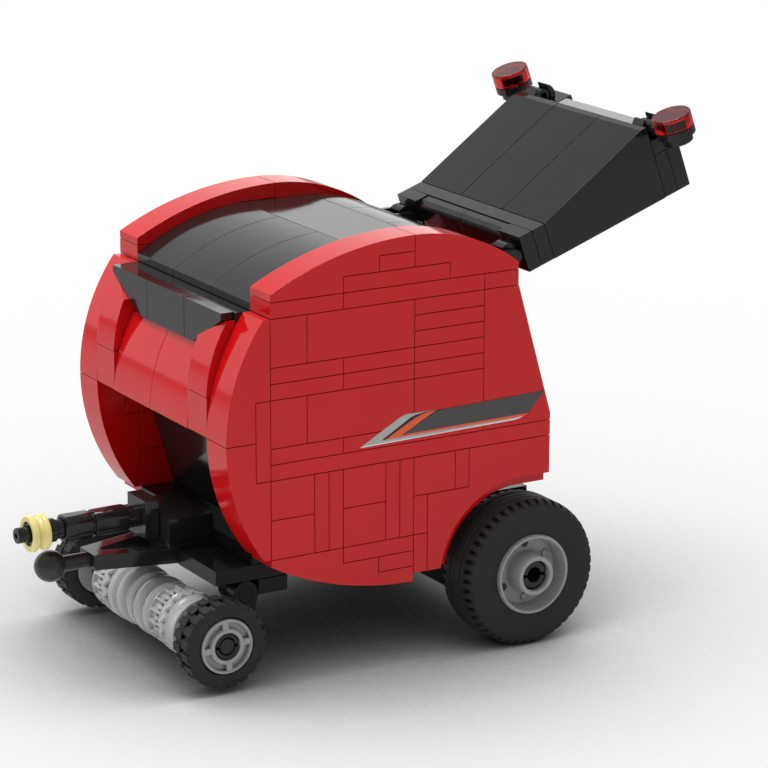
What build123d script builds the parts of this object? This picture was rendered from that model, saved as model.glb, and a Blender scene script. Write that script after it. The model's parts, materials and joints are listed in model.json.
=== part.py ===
from build123d import *
import math
import os

# A brick-built toy round baler: bale chamber between two stepped side walls,
# raised tailgate with lamps, pickup with its drum and wheels, drawbar and drive shaft.
# Every piece follows the 8 mm stud and the 3.2 mm plate of such toys.

# Building module
STUD = 8.0
PLATE = 3.2
BRICK = 3 * PLATE
SEAM = 0.15
LIP = 1.5
BAR_R = 1.59
BORE_GAP = 0.05
PRESS_GAP = 0.01
MOVE_GAP = 0.3

# Side walls: u runs back from the front seam, v runs up from the foot of the top arch
FRONT_X = 31.894
WALL = STUD
INNER_HALF = 3 * STUD
OUTER_HALF = INNER_HALF + WALL

# Rounded outlines of the walls
ARCH_RISE = 8.1
ARCH_FRONT = 4 * STUD
ARCH_END = 7 * STUD
WALL_END = 8 * STUD
NOSE_REACH = BRICK
NOSE_TOP = -PLATE
NOSE_MID = NOSE_TOP - 3 * STUD
NOSE_FOOT = NOSE_MID - 3 * STUD
SLOPE_FOOT = -10 * PLATE
BELT_FOOT = SLOPE_FOOT - PLATE
BELLY_DROP = 8.1

# Rear wheels and the arches over them
REAR_R = 15.2
REAR_TYRE_WALL = 6.75
REAR_TYRE_WIDTH = 11.0
REAR_TYRE_Y = 25.3
REAR_NOTCHES = 46
NOTCH_DEEP = 1.0
SHOULDER = 1.7
REAR_RIM_WIDTH = 12.0
REAR_RIM_Y = 25.0
RIM_EDGE = 0.85
DISH_DEEP = 4.6
HUB_R = 4.05
HUB_BORE = 3.1
HUB_PROUD = 0.95
PIN_R = 2.4
ARCH_CLEAR = 4.1
ARCH_ROOF = 7.9
ARCH_LEG = 2.9
ARCH_SKIN = 2.0
ARCH_STEP = 2.1

# Pickup wheels and the drum between them
PICKUP_U = -9.06
PICKUP_R = 8.75
PICKUP_CLEAR = 1.3
PICKUP_WHEEL_Y = 24.25
PICKUP_TYRE_WALL = 3.2
PICKUP_TYRE_WIDTH = 6.0
PICKUP_RIM_WIDTH = 6.6
PICKUP_BLOCKS = 20
BLOCK_DEEP = 1.0
BLOCK_CREST = 0.4
RIM_DISH = 1.6
PICKUP_HUB_R = 3.2
DRUM_R = 6.5
DRUM_HALF = 17.5
DRUM_TEETH = 16
DRUM_SIDES = 24
TOOTH_DEEP = 1.3
LIFT_U = -1.3
LIFT_V = -60.3
KNEE_V = -65.2
ARM_W = PLATE
ARM_GAP = 0.4
PIN_SKIN = 1.1

# Tailgate: e runs along it from the hinge and n square to it
HINGE_REACH = 4.4
HINGE_V = 0.0
HINGE_ARM = 1.2
OPEN_DEG = 19.64
GATE_FRONT = 2.15
GATE_NARROW = STUD
GATE_DEEP = 2 * STUD
GATE_HALF = INNER_HALF - MOVE_GAP
SLOPE_LEN = 9 * PLATE
CLIP_W = 3.6
CLIP_OUT = 2.7
LAMP_R = 4.0
LAMP_FOOT_R = 3.1
LAMP_Y = 30.0
LAMP_E = 37.85
LAMP_N = 12.8

# Roof, visor and intake
ROOF_TOP = 2 * PLATE
ROOF_FRONT_R = 48.0
VISOR_INSET = 0.75
VISOR_OUT = 2.65
VISOR_DROP = STUD
VISOR_CUT_IN = 12.4
VISOR_CUT_TOP = 1.4
FLANGE_TOP = 1.75
STRIP_THICK = 2.0
STRIP_SET_BACK = 0.3
INTAKE_TOP = 1.0
INTAKE_LEAN = 6.5

# Hitch
BALL_R = 3.2
BALL_BANDS = 6
BALL_U = -32.1
BALL_V = -56.15
DRAWBAR_U = -24.0
DRAWBAR_ROOT_U = -5.6
DRAWBAR_RIM = 3.0
SHAFT_V = -48.8
BRACKET_U = -13.1
SOCKET_U = -15.6
BODY_U = -29.5
BODY_MID_U = -22.2
BODY_ROUND = 0.9
COLLAR_R = 2.4
BUSH_R = 3.65
SHAFT_TIP_U = -39.2
TIP_LENGTH = 1.9
STEP_LENGTH = 0.9
BUSH_RING = 1.7
BUSH_GROOVE = 0.4

# Ties between the pieces
axle_v = BELT_FOOT - ARCH_ROOF - ARCH_CLEAR - REAR_R
arch_z = REAR_R - axle_v
arch_r = REAR_R + ARCH_CLEAR
rear_u = 11 * PLATE + ARCH_LEG + arch_r
rear_rim_r = REAR_R - REAR_TYRE_WALL
pickup_v = PICKUP_R + PICKUP_CLEAR - arch_z
pickup_rim_r = PICKUP_R - PICKUP_TYRE_WALL
arm_y = PICKUP_WHEEL_Y - ARM_GAP - ARM_W
drum_end = arm_y - ARM_GAP
hinge_u = ARCH_END + HINGE_REACH
floor_foot = NOSE_FOOT - PLATE
beam_foot = floor_foot - PLATE
g = SEAM / 2

os.makedirs("parts", exist_ok=True)


def wall_plane(y):
    """Plane square to Y whose local axes are u and v; it faces +Y."""
    return Plane(origin=(FRONT_X, y, arch_z), x_dir=(-1, 0, 0), z_dir=(0, 1, 0))


def nose_plane(u):
    """Plane square to the machine's length, facing forward; its local axes are y and v."""
    return Plane(origin=(FRONT_X - u, 0, arch_z), x_dir=(0, 1, 0), z_dir=(1, 0, 0))


def gate_plane(y):
    """Plane square to Y through the hinge whose local axes are e and n."""
    tilt = math.radians(OPEN_DEG)
    hinge = (FRONT_X - hinge_u, y, arch_z + HINGE_V)
    return Plane(origin=hinge, x_dir=(-math.cos(tilt), 0, math.sin(tilt)), z_dir=(0, 1, 0))


def block(plane, a0, a1, b0, b1, thick):
    """Adds one brick to the open part: a rectangle on the plane, drawn in by half a seam."""
    with BuildSketch(plane) as outline:
        with Locations(((a0 + a1) / 2, (b0 + b1) / 2)):
            Rectangle(a1 - a0 - SEAM, b1 - b0 - SEAM)
    extrude(outline.sketch, amount=thick)


def disc(plane, a, b, radius, thick, mode=Mode.ADD):
    """Adds or cuts one round, centred at a and b on the plane."""
    with BuildSketch(plane) as outline:
        with Locations((a, b)):
            Circle(radius)
    extrude(outline.sketch, amount=thick, mode=mode)


def panel(plane, points, thick):
    """Adds one piece with straight edges through the points."""
    with BuildSketch(plane) as outline:
        with BuildLine():
            Polyline(*points, close=True)
        make_face()
    extrude(outline.sketch, amount=thick)


def arched(plane, points, radius, thick):
    """Adds one piece with straight edges through the points and an arc from the last to the first."""
    with BuildSketch(plane) as outline:
        with BuildLine():
            Polyline(*points)
            RadiusArc(points[-1], points[0], radius)
        make_face()
    extrude(outline.sketch, amount=thick)


def faceted(plane, u, v, radius, edges, thick):
    """Adds one round with flat facets, whose first corner lies on the plane's first axis."""
    with BuildSketch(plane) as outline:
        with Locations((u, v)):
            RegularPolygon(radius, edges)
    extrude(outline.sketch, amount=thick)


def toothed(plane, u, v, teeth, outer, inner, crest, turn, thick):
    """Adds one toothed disc; crest is the share of each tooth that stays at the outer radius."""
    corners = [(share, outer) for share in sorted({-crest / 2, crest / 2})]
    corners.append((0.5, inner))
    points = []
    for tooth in range(teeth):
        for share, radius in corners:
            angle = 2 * math.pi * (tooth + share + turn) / teeth
            points.append((u + radius * math.cos(angle), v + radius * math.sin(angle)))
    panel(plane, points, thick)


def finish(piece, name):
    piece.part.label = name
    export_step(piece.part, f"parts/{name}.step")


def arc_radius(reach, drop):
    """Radius of an arc that is level at one end and falls by drop over reach."""
    return (reach * reach + drop * drop) / (2 * drop)


# Upright wall bricks: both ends in studs from the front seam, foot and top in plates
upright_bricks = [
    (2, 5, 0, 1),
    (3, 4, 1, 2),
    (0, 2, -1, 0),
    (2, 6, -1, 0),
    (6, 7, -1, 0),
    (0, 1, -4, -1),
    (1, 4, -4, -1),
    (4, 6, -2, -1),
    (4, 6, -3, -2),
    (4, 6, -4, -3),
    (0, 2, -5, -4),
    (2, 4, -5, -4),
    (4, 6, -5, -4),
    (0, 2, -6, -5),
    (2, 4, -6, -5),
    (4, 6, -6, -5),
    (0, 1, -9, -6),
    (1, 4, -9, -6),
    (4, 6, -9, -6),
    (0, 2, -10, -9),
    (2, 6, -10, -9),
    (0, 8, -11, -10),
    (2, 4, -17, -16),
    (3, 4, -18, -17),
]

# Wall bricks on their sides: both ends in plates, foot and top in studs from the belt's foot
sideways_bricks = [
    (-1, 0, 0, 2),
    (0, 3, -1, 0),
    (0, 3, -2, -1),
    (3, 4, -2, 0),
    (4, 5, -2, 0),
    (5, 8, -1, 0),
    (5, 8, -2, -1),
    (8, 9, -2, 0),
    (9, 10, -2, 0),
    (10, 13, -1, 0),
    (13, 14, -1, 0),
    (10, 11, -2, -1),
    (10, 11, -3, -2),
]

# Side, y of the wall's right-hand face, and y of its skin's and its core's right-hand faces
sides = [
    ("left", INNER_HALF, OUTER_HALF - ARCH_SKIN, INNER_HALF),
    ("right", -OUTER_HALF, -OUTER_HALF, ARCH_SKIN - OUTER_HALF),
]

arch_front_r = arc_radius(ARCH_FRONT, ARCH_RISE)
arch_rear_r = arc_radius(ARCH_END - ARCH_FRONT, ARCH_RISE)
nose_r = arc_radius(3 * STUD, NOSE_REACH - LIP)
arch_top = LIP + ARCH_RISE
notch_top = BELT_FOOT + 2 * STUD

for side, wall_y, skin_y, core_y in sides:
    plane = wall_plane(wall_y)

    with BuildPart() as bricks:
        for u0, u1, v0, v1 in upright_bricks:
            block(plane, u0 * STUD, u1 * STUD, v0 * PLATE, v1 * PLATE, WALL)
        for u0, u1, v0, v1 in sideways_bricks:
            block(plane, u0 * PLATE, u1 * PLATE, BELT_FOOT + v0 * STUD, BELT_FOOT + v1 * STUD, WALL)
    finish(bricks, f"{side}_wall_bricks")

    with BuildPart() as arch:
        front = [
            (ARCH_FRONT - g, arch_top),
            (ARCH_FRONT - g, 2 * PLATE + g),
            (3 * STUD - g, 2 * PLATE + g),
            (3 * STUD - g, PLATE + g),
            (2 * STUD - g, PLATE + g),
            (2 * STUD - g, g),
            (g, g),
            (g, LIP),
        ]
        rear = [
            (ARCH_END - g, LIP),
            (ARCH_END - g, g),
            (5 * STUD + g, g),
            (5 * STUD + g, PLATE + g),
            (ARCH_FRONT + g, PLATE + g),
            (ARCH_FRONT + g, arch_top),
        ]
        arched(plane, front, arch_front_r, WALL)
        arched(plane, rear, arch_rear_r, WALL)
    finish(arch, f"{side}_top_arch")

    with BuildPart() as nose:
        upper = [
            (-LIP, NOSE_TOP - g),
            (-g, NOSE_TOP - g),
            (-g, notch_top + g),
            (-PLATE - g, notch_top + g),
            (-PLATE - g, NOSE_MID + g),
            (-NOSE_REACH, NOSE_MID + g),
        ]
        lower = [
            (-NOSE_REACH, NOSE_MID - g),
            (-PLATE - g, NOSE_MID - g),
            (-PLATE - g, BELT_FOOT - g),
            (-g, BELT_FOOT - g),
            (-g, NOSE_FOOT + g),
            (-LIP, NOSE_FOOT + g),
        ]
        arched(plane, upper, nose_r, WALL)
        arched(plane, lower, nose_r, WALL)
    finish(nose, f"{side}_nose")

    with BuildPart() as slope:
        corners = [
            (6 * STUD + g, NOSE_TOP - g),
            (ARCH_END, NOSE_TOP - g),
            (WALL_END - g, SLOPE_FOOT + LIP),
            (WALL_END - g, SLOPE_FOOT + g),
            (6 * STUD + g, SLOPE_FOOT + g),
        ]
        panel(plane, corners, WALL)
    finish(slope, f"{side}_rear_slope")

    with BuildPart() as belly:
        foot = NOSE_FOOT - LIP
        corners = [
            (g, foot),
            (g, NOSE_FOOT - g),
            (2 * STUD - g, NOSE_FOOT - g),
            (2 * STUD - g, floor_foot - g),
            (3 * STUD - g, floor_foot - g),
            (3 * STUD - g, beam_foot - g),
            (4 * STUD - g, beam_foot - g),
            (4 * STUD - g, foot - BELLY_DROP),
        ]
        arched(plane, corners, arch_front_r, WALL)
    finish(belly, f"{side}_belly_arch")

    with BuildPart() as wheel_arch:
        corners = [
            (14 * PLATE + g, BELT_FOOT - g),
            (WALL_END - g, BELT_FOOT - g),
            (WALL_END - g, NOSE_FOOT - STUD),
            (11 * PLATE + g, NOSE_FOOT - STUD),
            (11 * PLATE + g, BELT_FOOT - STUD - g),
            (14 * PLATE + g, BELT_FOOT - STUD - g),
        ]
        layers = [(skin_y, ARCH_SKIN, arch_r), (core_y, WALL - ARCH_SKIN, arch_r - ARCH_STEP)]
        for layer_y, thick, radius in layers:
            with BuildSketch(wall_plane(layer_y)) as outline:
                with BuildLine():
                    Polyline(*corners, close=True)
                make_face()
                with Locations((rear_u, axle_v)):
                    Circle(radius, mode=Mode.SUBTRACT)
                with Locations((rear_u + STUD, axle_v + radius / 2)):
                    Rectangle(2 * STUD, radius, mode=Mode.SUBTRACT)
            extrude(outline.sketch, amount=thick)
    finish(wheel_arch, f"{side}_wheel_arch")

# Roof over the chamber, in three bays across the machine
bays = [-2 * STUD, 0, 2 * STUD]
bay_width = 2 * STUD - SEAM
full_plane = wall_plane(g - INNER_HALF)
full_width = 2 * INNER_HALF - SEAM
roof_rear_r = arc_radius(2 * STUD, ROOF_TOP - LIP)

with BuildPart() as roof_front:
    corners = [(3 * STUD - g, ROOF_TOP), (3 * STUD - g, g - PLATE), (g, g - PLATE), (g, ROOF_TOP - ARCH_RISE)]
    for bay in bays:
        arched(wall_plane(bay - STUD + g), corners, ROOF_FRONT_R, bay_width)
finish(roof_front, "roof_front_panels")

with BuildPart() as roof_mid:
    block(full_plane, 3 * STUD, 5 * STUD, PLATE, ROOF_TOP + g, full_width)
    block(full_plane, 3 * STUD, 5 * STUD, -PLATE, PLATE, full_width)
finish(roof_mid, "roof_middle_tile")

with BuildPart() as roof_rear:
    corners = [(ARCH_END - g, LIP), (ARCH_END - g, g), (5 * STUD + g, g), (5 * STUD + g, ROOF_TOP)]
    for bay in bays:
        arched(wall_plane(bay - STUD + g), corners, roof_rear_r, bay_width)
finish(roof_rear, "roof_rear_panels")

with BuildPart() as roof_base:
    block(full_plane, -PLATE, 3 * STUD, -2 * PLATE, -PLATE, full_width)
    block(full_plane, 3 * STUD, 5 * STUD, -2 * PLATE, -PLATE, full_width)
finish(roof_base, "roof_base_plates")

# Hinge plate, with a bar on two arms at each side for the tailgate's clips
with BuildPart() as hinge:
    block(full_plane, 5 * STUD, ARCH_END - MOVE_GAP, -PLATE, 0, full_width)
    for bar_y in (INNER_HALF - STUD + MOVE_GAP, MOVE_GAP - INNER_HALF):
        bar_length = STUD - 2 * MOVE_GAP
        for arm_side in (bar_y, bar_y + bar_length - HINGE_ARM):
            arm_root = hinge_u - ARCH_END - SEAM
            with BuildSketch(wall_plane(arm_side)) as outline:
                with Locations((hinge_u - HINGE_REACH, HINGE_V - BAR_R / 2)):
                    Rectangle(2 * HINGE_REACH, BAR_R)
                with Locations((hinge_u - arm_root / 2, HINGE_V)):
                    Rectangle(arm_root, 2 * BAR_R)
                with Locations((hinge_u, HINGE_V)):
                    Circle(BAR_R)
            extrude(outline.sketch, amount=HINGE_ARM)
        disc(wall_plane(bar_y), hinge_u, HINGE_V, BAR_R, bar_length)
finish(hinge, "tailgate_hinge_plate")

# Front of the chamber
with BuildPart() as core:
    block(full_plane, -PLATE, 0, NOSE_MID, -2 * PLATE, full_width)
finish(core, "front_core")

visor_half = INNER_HALF - VISOR_INSET
visor_low = -PLATE - VISOR_DROP
visor_cut = -PLATE - VISOR_CUT_TOP
with BuildPart() as visor:
    plane = nose_plane(-PLATE - g)
    for way in (-1, 1):
        corners = [
            (way * (STUD + g), -PLATE),
            (way * visor_half, -PLATE),
            (way * visor_half, visor_cut),
            (way * (INNER_HALF - VISOR_CUT_IN), visor_low),
            (way * (STUD + g), visor_low),
        ]
        panel(plane, corners, VISOR_OUT)
    block(plane, -STUD, STUD, visor_low - g, g - PLATE, VISOR_OUT)
finish(visor, "front_visor")

panel_top = NOSE_MID + 2 * STUD - g
panel_u = -PLATE - FLANGE_TOP
panel_r = arc_radius(2 * STUD, NOSE_REACH + panel_u)
with BuildPart() as front_panels:
    corners = [(panel_u, panel_top), (-PLATE - g, panel_top), (-PLATE - g, NOSE_MID), (-NOSE_REACH, NOSE_MID)]
    for panel_y in (-2 * STUD, 0):
        arched(wall_plane(panel_y + g), corners, panel_r, bay_width)
finish(front_panels, "front_panels")

with BuildPart() as flanges:
    for flange_y, way in ((2 * STUD, 1), (-3 * STUD, -1)):
        plane = wall_plane(flange_y + g)
        low = NOSE_MID + STUD + g
        high = -PLATE - LIP - g
        inner_y = way * (INNER_HALF - VISOR_CUT_IN)
        outer_y = way * INNER_HALF
        rise = (visor_cut - visor_low) * (outer_y - inner_y) / (way * visor_half - inner_y)
        corners = [(panel_u, high), (-PLATE - g, high), (-PLATE - g, low), (-NOSE_REACH, low)]
        cut = [(inner_y, visor_low - SEAM), (outer_y, visor_low + rise - SEAM), (outer_y, 0), (inner_y, 0)]
        block(plane, -NOSE_REACH, -PLATE, NOSE_MID, NOSE_MID + STUD, STUD - SEAM)
        arched(plane, corners, panel_r, STUD - SEAM)
        with BuildSketch(nose_plane(0)) as outline:
            with BuildLine():
                Polyline(*cut, close=True)
            make_face()
        extrude(outline.sketch, amount=NOSE_REACH, mode=Mode.SUBTRACT)
finish(flanges, "front_flanges")

# Strips under the front panels and the leaning black panels behind the intake
with BuildPart() as strip:
    for bay in (bays[0], bays[-1]):
        block(wall_plane(bay - STUD + g), -2 * PLATE, STUD, NOSE_MID - STRIP_THICK, NOSE_MID, bay_width)
finish(strip, "intake_strip")

with BuildPart() as strip_mid:
    block(wall_plane(g - STUD), STRIP_SET_BACK - 2 * PLATE, STUD, NOSE_MID - STRIP_THICK, NOSE_MID, bay_width)
finish(strip_mid, "intake_strip_middle")

with BuildPart() as intake:
    strip_foot = NOSE_MID - STRIP_THICK - g
    lean_foot = NOSE_FOOT + g
    corners = [
        (INTAKE_TOP, strip_foot),
        (INTAKE_TOP + INTAKE_LEAN, lean_foot),
        (2 * STUD, lean_foot),
        (2 * STUD, lean_foot + STUD / 2),
        (STUD, strip_foot),
    ]
    for bay in bays:
        panel(wall_plane(bay - STUD + g), corners, bay_width)
finish(intake, "intake_panel")

# Floor plates, the cross plates under the chamber and the pads behind the pickup's lugs
lug_r = BAR_R + PIN_SKIN
lug_end = LIFT_U + lug_r
with BuildPart() as floor:
    block(full_plane, 0, 4 * STUD, floor_foot, NOSE_FOOT, full_width)
    block(full_plane, 4 * STUD, ARCH_END - MOVE_GAP, floor_foot, NOSE_FOOT, full_width)
finish(floor, "chassis_floor")

with BuildPart() as beams:
    for beam_y in (-INNER_HALF, STUD):
        block(wall_plane(beam_y + g), -STUD, 2 * STUD, beam_foot, floor_foot, bay_width)
    for pad_y in (-INNER_HALF, 2 * STUD):
        block(wall_plane(pad_y + g), lug_end, STUD, beam_foot - PLATE, beam_foot, STUD - SEAM)
    block(full_plane, 2 * STUD, 6 * STUD, beam_foot, floor_foot, full_width)
finish(beams, "chassis_plates")

# Axle block with the cross block behind the chamber and the pins of the rear wheels
cross_top = BELT_FOOT - 4 * PLATE
pin_half = REAR_TYRE_Y + REAR_RIM_WIDTH - 1
with BuildPart() as axle:
    block(full_plane, 6 * STUD, WALL_END, axle_v - 2 * PLATE, axle_v + PLATE, full_width)
    block(full_plane, 6 * STUD, ARCH_END - MOVE_GAP, axle_v + PLATE, floor_foot, full_width)
    block(full_plane, ARCH_END - MOVE_GAP, WALL_END, axle_v + PLATE, cross_top, full_width)
    disc(wall_plane(-pin_half), rear_u, axle_v, PIN_R, 2 * pin_half)
finish(axle, "rear_axle_block")


def wheel_plane(u, v, y):
    """Plane through a wheel's axis, for profiles of radius against y."""
    return Plane(origin=(FRONT_X - u, y, arch_z + v), x_dir=(1, 0, 0), z_dir=(0, 0, 1))


def turned(u, v, y, points):
    """Adds a ring turned about the wheel's axis; each point is a radius and a distance from y."""
    with BuildSketch(wheel_plane(u, v, y)) as outline:
        with BuildLine():
            Polyline(*points, close=True)
        make_face()
    revolve(outline.sketch, axis=Axis((FRONT_X - u, 0, arch_z + v), (0, 1, 0)))


# Wheels of each side, built outwards from their inner faces
for side, way in (("left", 1), ("right", -1)):
    with BuildPart() as rim:
        bore = PIN_R + BORE_GAP
        face = way * REAR_RIM_WIDTH
        dish = way * (REAR_RIM_WIDTH - DISH_DEEP)
        hub = way * (REAR_RIM_WIDTH + HUB_PROUD)
        profile = [
            (bore, 0),
            (rear_rim_r, 0),
            (rear_rim_r, face),
            (rear_rim_r - RIM_EDGE, face),
            (rear_rim_r - RIM_EDGE, dish),
            (HUB_R, dish),
            (HUB_R, hub),
            (HUB_BORE, hub),
            (HUB_BORE, dish),
            (bore, dish),
        ]
        turned(rear_u, axle_v, way * REAR_RIM_Y, profile)
    finish(rim, f"rear_rim_{side}")

    with BuildPart() as tyre:
        root = REAR_R - NOTCH_DEEP
        middle = REAR_TYRE_WIDTH - 2 * SHOULDER
        low_y = min(way * REAR_TYRE_Y, way * (REAR_TYRE_Y + REAR_TYRE_WIDTH))
        for row_y in (low_y, low_y + SHOULDER + middle):
            toothed(wall_plane(row_y), rear_u, axle_v, REAR_NOTCHES, REAR_R, root, 0, 0, SHOULDER)
        faceted(wall_plane(low_y + SHOULDER), rear_u, axle_v, REAR_R, REAR_NOTCHES, middle)
        disc(wall_plane(low_y), rear_u, axle_v, rear_rim_r + BORE_GAP, REAR_TYRE_WIDTH, Mode.SUBTRACT)
    finish(tyre, f"rear_tyre_{side}")

    with BuildPart() as rim:
        bore = BAR_R + BORE_GAP
        face = way * PICKUP_RIM_WIDTH
        dish = way * (PICKUP_RIM_WIDTH - RIM_DISH)
        profile = [
            (bore, 0),
            (pickup_rim_r, 0),
            (pickup_rim_r, face),
            (pickup_rim_r - RIM_EDGE, face),
            (pickup_rim_r - RIM_EDGE, dish),
            (PICKUP_HUB_R, dish),
            (PICKUP_HUB_R, face),
            (bore, face),
        ]
        turned(PICKUP_U, pickup_v, way * PICKUP_WHEEL_Y, profile)
    finish(rim, f"pickup_rim_{side}")

    with BuildPart() as tyre:
        row = PICKUP_TYRE_WIDTH / 2
        inner_y = PICKUP_WHEEL_Y + ARM_GAP / 2
        low_y = min(way * inner_y, way * (inner_y + PICKUP_TYRE_WIDTH))
        root = PICKUP_R - BLOCK_DEEP
        for row_y, turn in ((low_y, 0), (low_y + row, 0.5)):
            plane = wall_plane(row_y)
            toothed(plane, PICKUP_U, pickup_v, PICKUP_BLOCKS, PICKUP_R, root, BLOCK_CREST, turn, row)
        disc(wall_plane(low_y), PICKUP_U, pickup_v, pickup_rim_r + BORE_GAP, PICKUP_TYRE_WIDTH, Mode.SUBTRACT)
    finish(tyre, f"pickup_tyre_{side}")

# Pickup: lugs under the chamber, lift arms with the axle, and the drum
lug_y = arm_y - ARM_W - SEAM
with BuildPart() as lugs:
    corners = [
        (LIFT_U - lug_r, beam_foot - g),
        (LIFT_U + lug_r, beam_foot - g),
        (LIFT_U + lug_r, LIFT_V),
        (LIFT_U - lug_r, LIFT_V),
    ]
    for near_y, pin_y in ((lug_y, lug_y), (-lug_y - ARM_W, -arm_y - ARM_W)):
        panel(wall_plane(near_y), corners, ARM_W)
        disc(wall_plane(near_y), LIFT_U, LIFT_V, lug_r, ARM_W)
        disc(wall_plane(pin_y), LIFT_U, LIFT_V, BAR_R, 2 * ARM_W + SEAM)
finish(lugs, "pickup_hinge_lugs")

axle_half = PICKUP_WHEEL_Y + PICKUP_RIM_WIDTH - 1
with BuildPart() as arms:
    for near_y in (arm_y, -arm_y - ARM_W):
        for end_u, end_v in ((LIFT_U, LIFT_V), (PICKUP_U, pickup_v)):
            with BuildSketch(wall_plane(near_y)) as outline:
                with Locations((end_u, end_v)):
                    Circle(lug_r)
                with Locations((LIFT_U, KNEE_V)):
                    Circle(BAR_R)
                make_hull()
            extrude(outline.sketch, amount=ARM_W)
        disc(wall_plane(near_y), LIFT_U, LIFT_V, BAR_R + BORE_GAP, ARM_W, Mode.SUBTRACT)
    disc(wall_plane(-axle_half), PICKUP_U, pickup_v, BAR_R, 2 * axle_half)
finish(arms, "pickup_arms")

# Rounds of the drum from its right end: start, end and how far below the drum's radius
drum_rounds = [
    (-drum_end, drum_end, 3.3),
    (-DRUM_HALF, 12.3, 1.2),
    (-10.5, -7.6, 0.1),
    (-7.3, -5.0, 0.3),
    (-3.6, -1.3, 0.7),
    (-0.7, 1.9, 0.5),
    (2.7, 4.8, 0.4),
    (12.3, DRUM_HALF, 0.0),
]

# Toothed rings of the drum: start, end, how far below the drum's radius, and crest
drum_teeth = [
    (-DRUM_HALF, -13.1, 0.0, 0.5),
    (-13.1, -10.5, 0.0, 0.0),
    (5.0, 9.7, 0.2, 0.5),
    (9.7, 12.3, 0.0, 0.0),
]

with BuildPart() as drum:
    for start, end, below in drum_rounds:
        faceted(wall_plane(start), PICKUP_U, pickup_v, DRUM_R - below, DRUM_SIDES, end - start)
    for start, end, below, crest in drum_teeth:
        plane = wall_plane(start)
        outer = DRUM_R - below
        root = DRUM_R - TOOTH_DEEP
        toothed(plane, PICKUP_U, pickup_v, DRUM_TEETH, outer, root, crest, 0, end - start)
    disc(wall_plane(-drum_end), PICKUP_U, pickup_v, BAR_R + BORE_GAP, 2 * drum_end, Mode.SUBTRACT)
finish(drum, "pickup_drum")

# Drawbar: a tapering frame with a three-cornered opening, and the tow ball on its neck
root_x = FRONT_X - DRAWBAR_ROOT_U
tip_x = FRONT_X - DRAWBAR_U
rear_x = FRONT_X - 2 * STUD + g
frame = [
    (rear_x, g - STUD),
    (root_x, g - STUD),
    (tip_x, -PLATE),
    (tip_x, PLATE),
    (root_x, STUD - g),
    (rear_x, STUD - g),
]
opening = [
    (root_x + DRAWBAR_RIM, LIP + PLATE),
    (root_x + DRAWBAR_RIM, -LIP - PLATE),
    (tip_x - DRAWBAR_RIM, -LIP / 2),
    (tip_x - DRAWBAR_RIM, LIP / 2),
]
with BuildPart() as drawbar:
    with BuildSketch(Plane.XY.offset(arch_z + beam_foot + g)) as outline:
        with BuildLine():
            Polyline(*frame, close=True)
        make_face()
        with BuildLine():
            Polyline(*opening, close=True)
        make_face(mode=Mode.SUBTRACT)
    extrude(outline.sketch, amount=PLATE - SEAM)
finish(drawbar, "drawbar")

with BuildPart() as ball:
    neck_back = DRAWBAR_U - BALL_U
    profile = [(-neck_back, 0), (-neck_back, BAR_R)]
    for band in range(1, BALL_BANDS + 1):
        angle = math.pi * (1 - band / BALL_BANDS)
        profile.append((BALL_R * math.cos(angle), BALL_R * math.sin(angle)))
    centre = (FRONT_X - BALL_U, 0, arch_z + BALL_V)
    with BuildSketch(Plane(origin=centre, x_dir=(1, 0, 0), z_dir=(0, -1, 0))) as outline:
        with BuildLine():
            Polyline(*profile, close=True)
        make_face()
    revolve(outline.sketch, axis=Axis(centre, (1, 0, 0)))
finish(ball, "tow_ball")

# Drive shaft: upright plate, bearing body and the turning stub with its yellow bush
with BuildPart() as holder:
    rear = BRACKET_U + PLATE
    foot = SHAFT_V - STUD / 2
    block(wall_plane(g - STUD / 2), BRACKET_U, rear, foot, foot + STUD, STUD - SEAM)
    block(wall_plane(g - STUD), rear, 0, foot, foot + STUD - PLATE, bay_width)
    block(wall_plane(g - STUD), rear, 0, floor_foot, foot, bay_width)
finish(holder, "shaft_bracket")

# Sections of the bearing body: rear end, front end and half width
body_sections = [
    (BRACKET_U, SOCKET_U, 2.2),
    (SOCKET_U, BODY_MID_U, 2.9),
    (BODY_MID_U, BODY_U, 2.5),
]
with BuildPart() as body:
    for rear, front, half in body_sections:
        with BuildSketch(nose_plane(rear)) as outline:
            with Locations((0, SHAFT_V)):
                Rectangle(2 * half, 2 * half)
                chamfer(outline.vertices(), BODY_ROUND)
        extrude(outline.sketch, amount=rear - front)
    disc(nose_plane(BODY_MID_U), 0, SHAFT_V, BAR_R + BORE_GAP, STUD, Mode.SUBTRACT)
finish(body, "shaft_bearing")

collar_front = SHAFT_TIP_U + TIP_LENGTH + STEP_LENGTH
with BuildPart() as stub:
    disc(nose_plane(BODY_MID_U - MOVE_GAP), 0, SHAFT_V, BAR_R, STUD)
    disc(nose_plane(BODY_U - MOVE_GAP), 0, SHAFT_V, COLLAR_R, BODY_U - MOVE_GAP - collar_front)
    disc(nose_plane(collar_front), 0, SHAFT_V, BAR_R + MOVE_GAP, STEP_LENGTH)
    disc(nose_plane(SHAFT_TIP_U + TIP_LENGTH), 0, SHAFT_V, BAR_R, TIP_LENGTH)
finish(stub, "drive_shaft")

with BuildPart() as bush:
    bush_front = collar_front - BUSH_GROOVE
    bush_length = 2 * BUSH_RING + BUSH_GROOVE
    groove_r = BUSH_R - BUSH_GROOVE
    disc(nose_plane(bush_front + bush_length), 0, SHAFT_V, groove_r, bush_length)
    for ring_u in (bush_front + BUSH_RING, bush_front + bush_length):
        disc(nose_plane(ring_u), 0, SHAFT_V, BUSH_R, BUSH_RING)
    disc(nose_plane(bush_front + bush_length), 0, SHAFT_V, COLLAR_R + PRESS_GAP, bush_length, Mode.SUBTRACT)
finish(bush, "shaft_bush")

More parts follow.
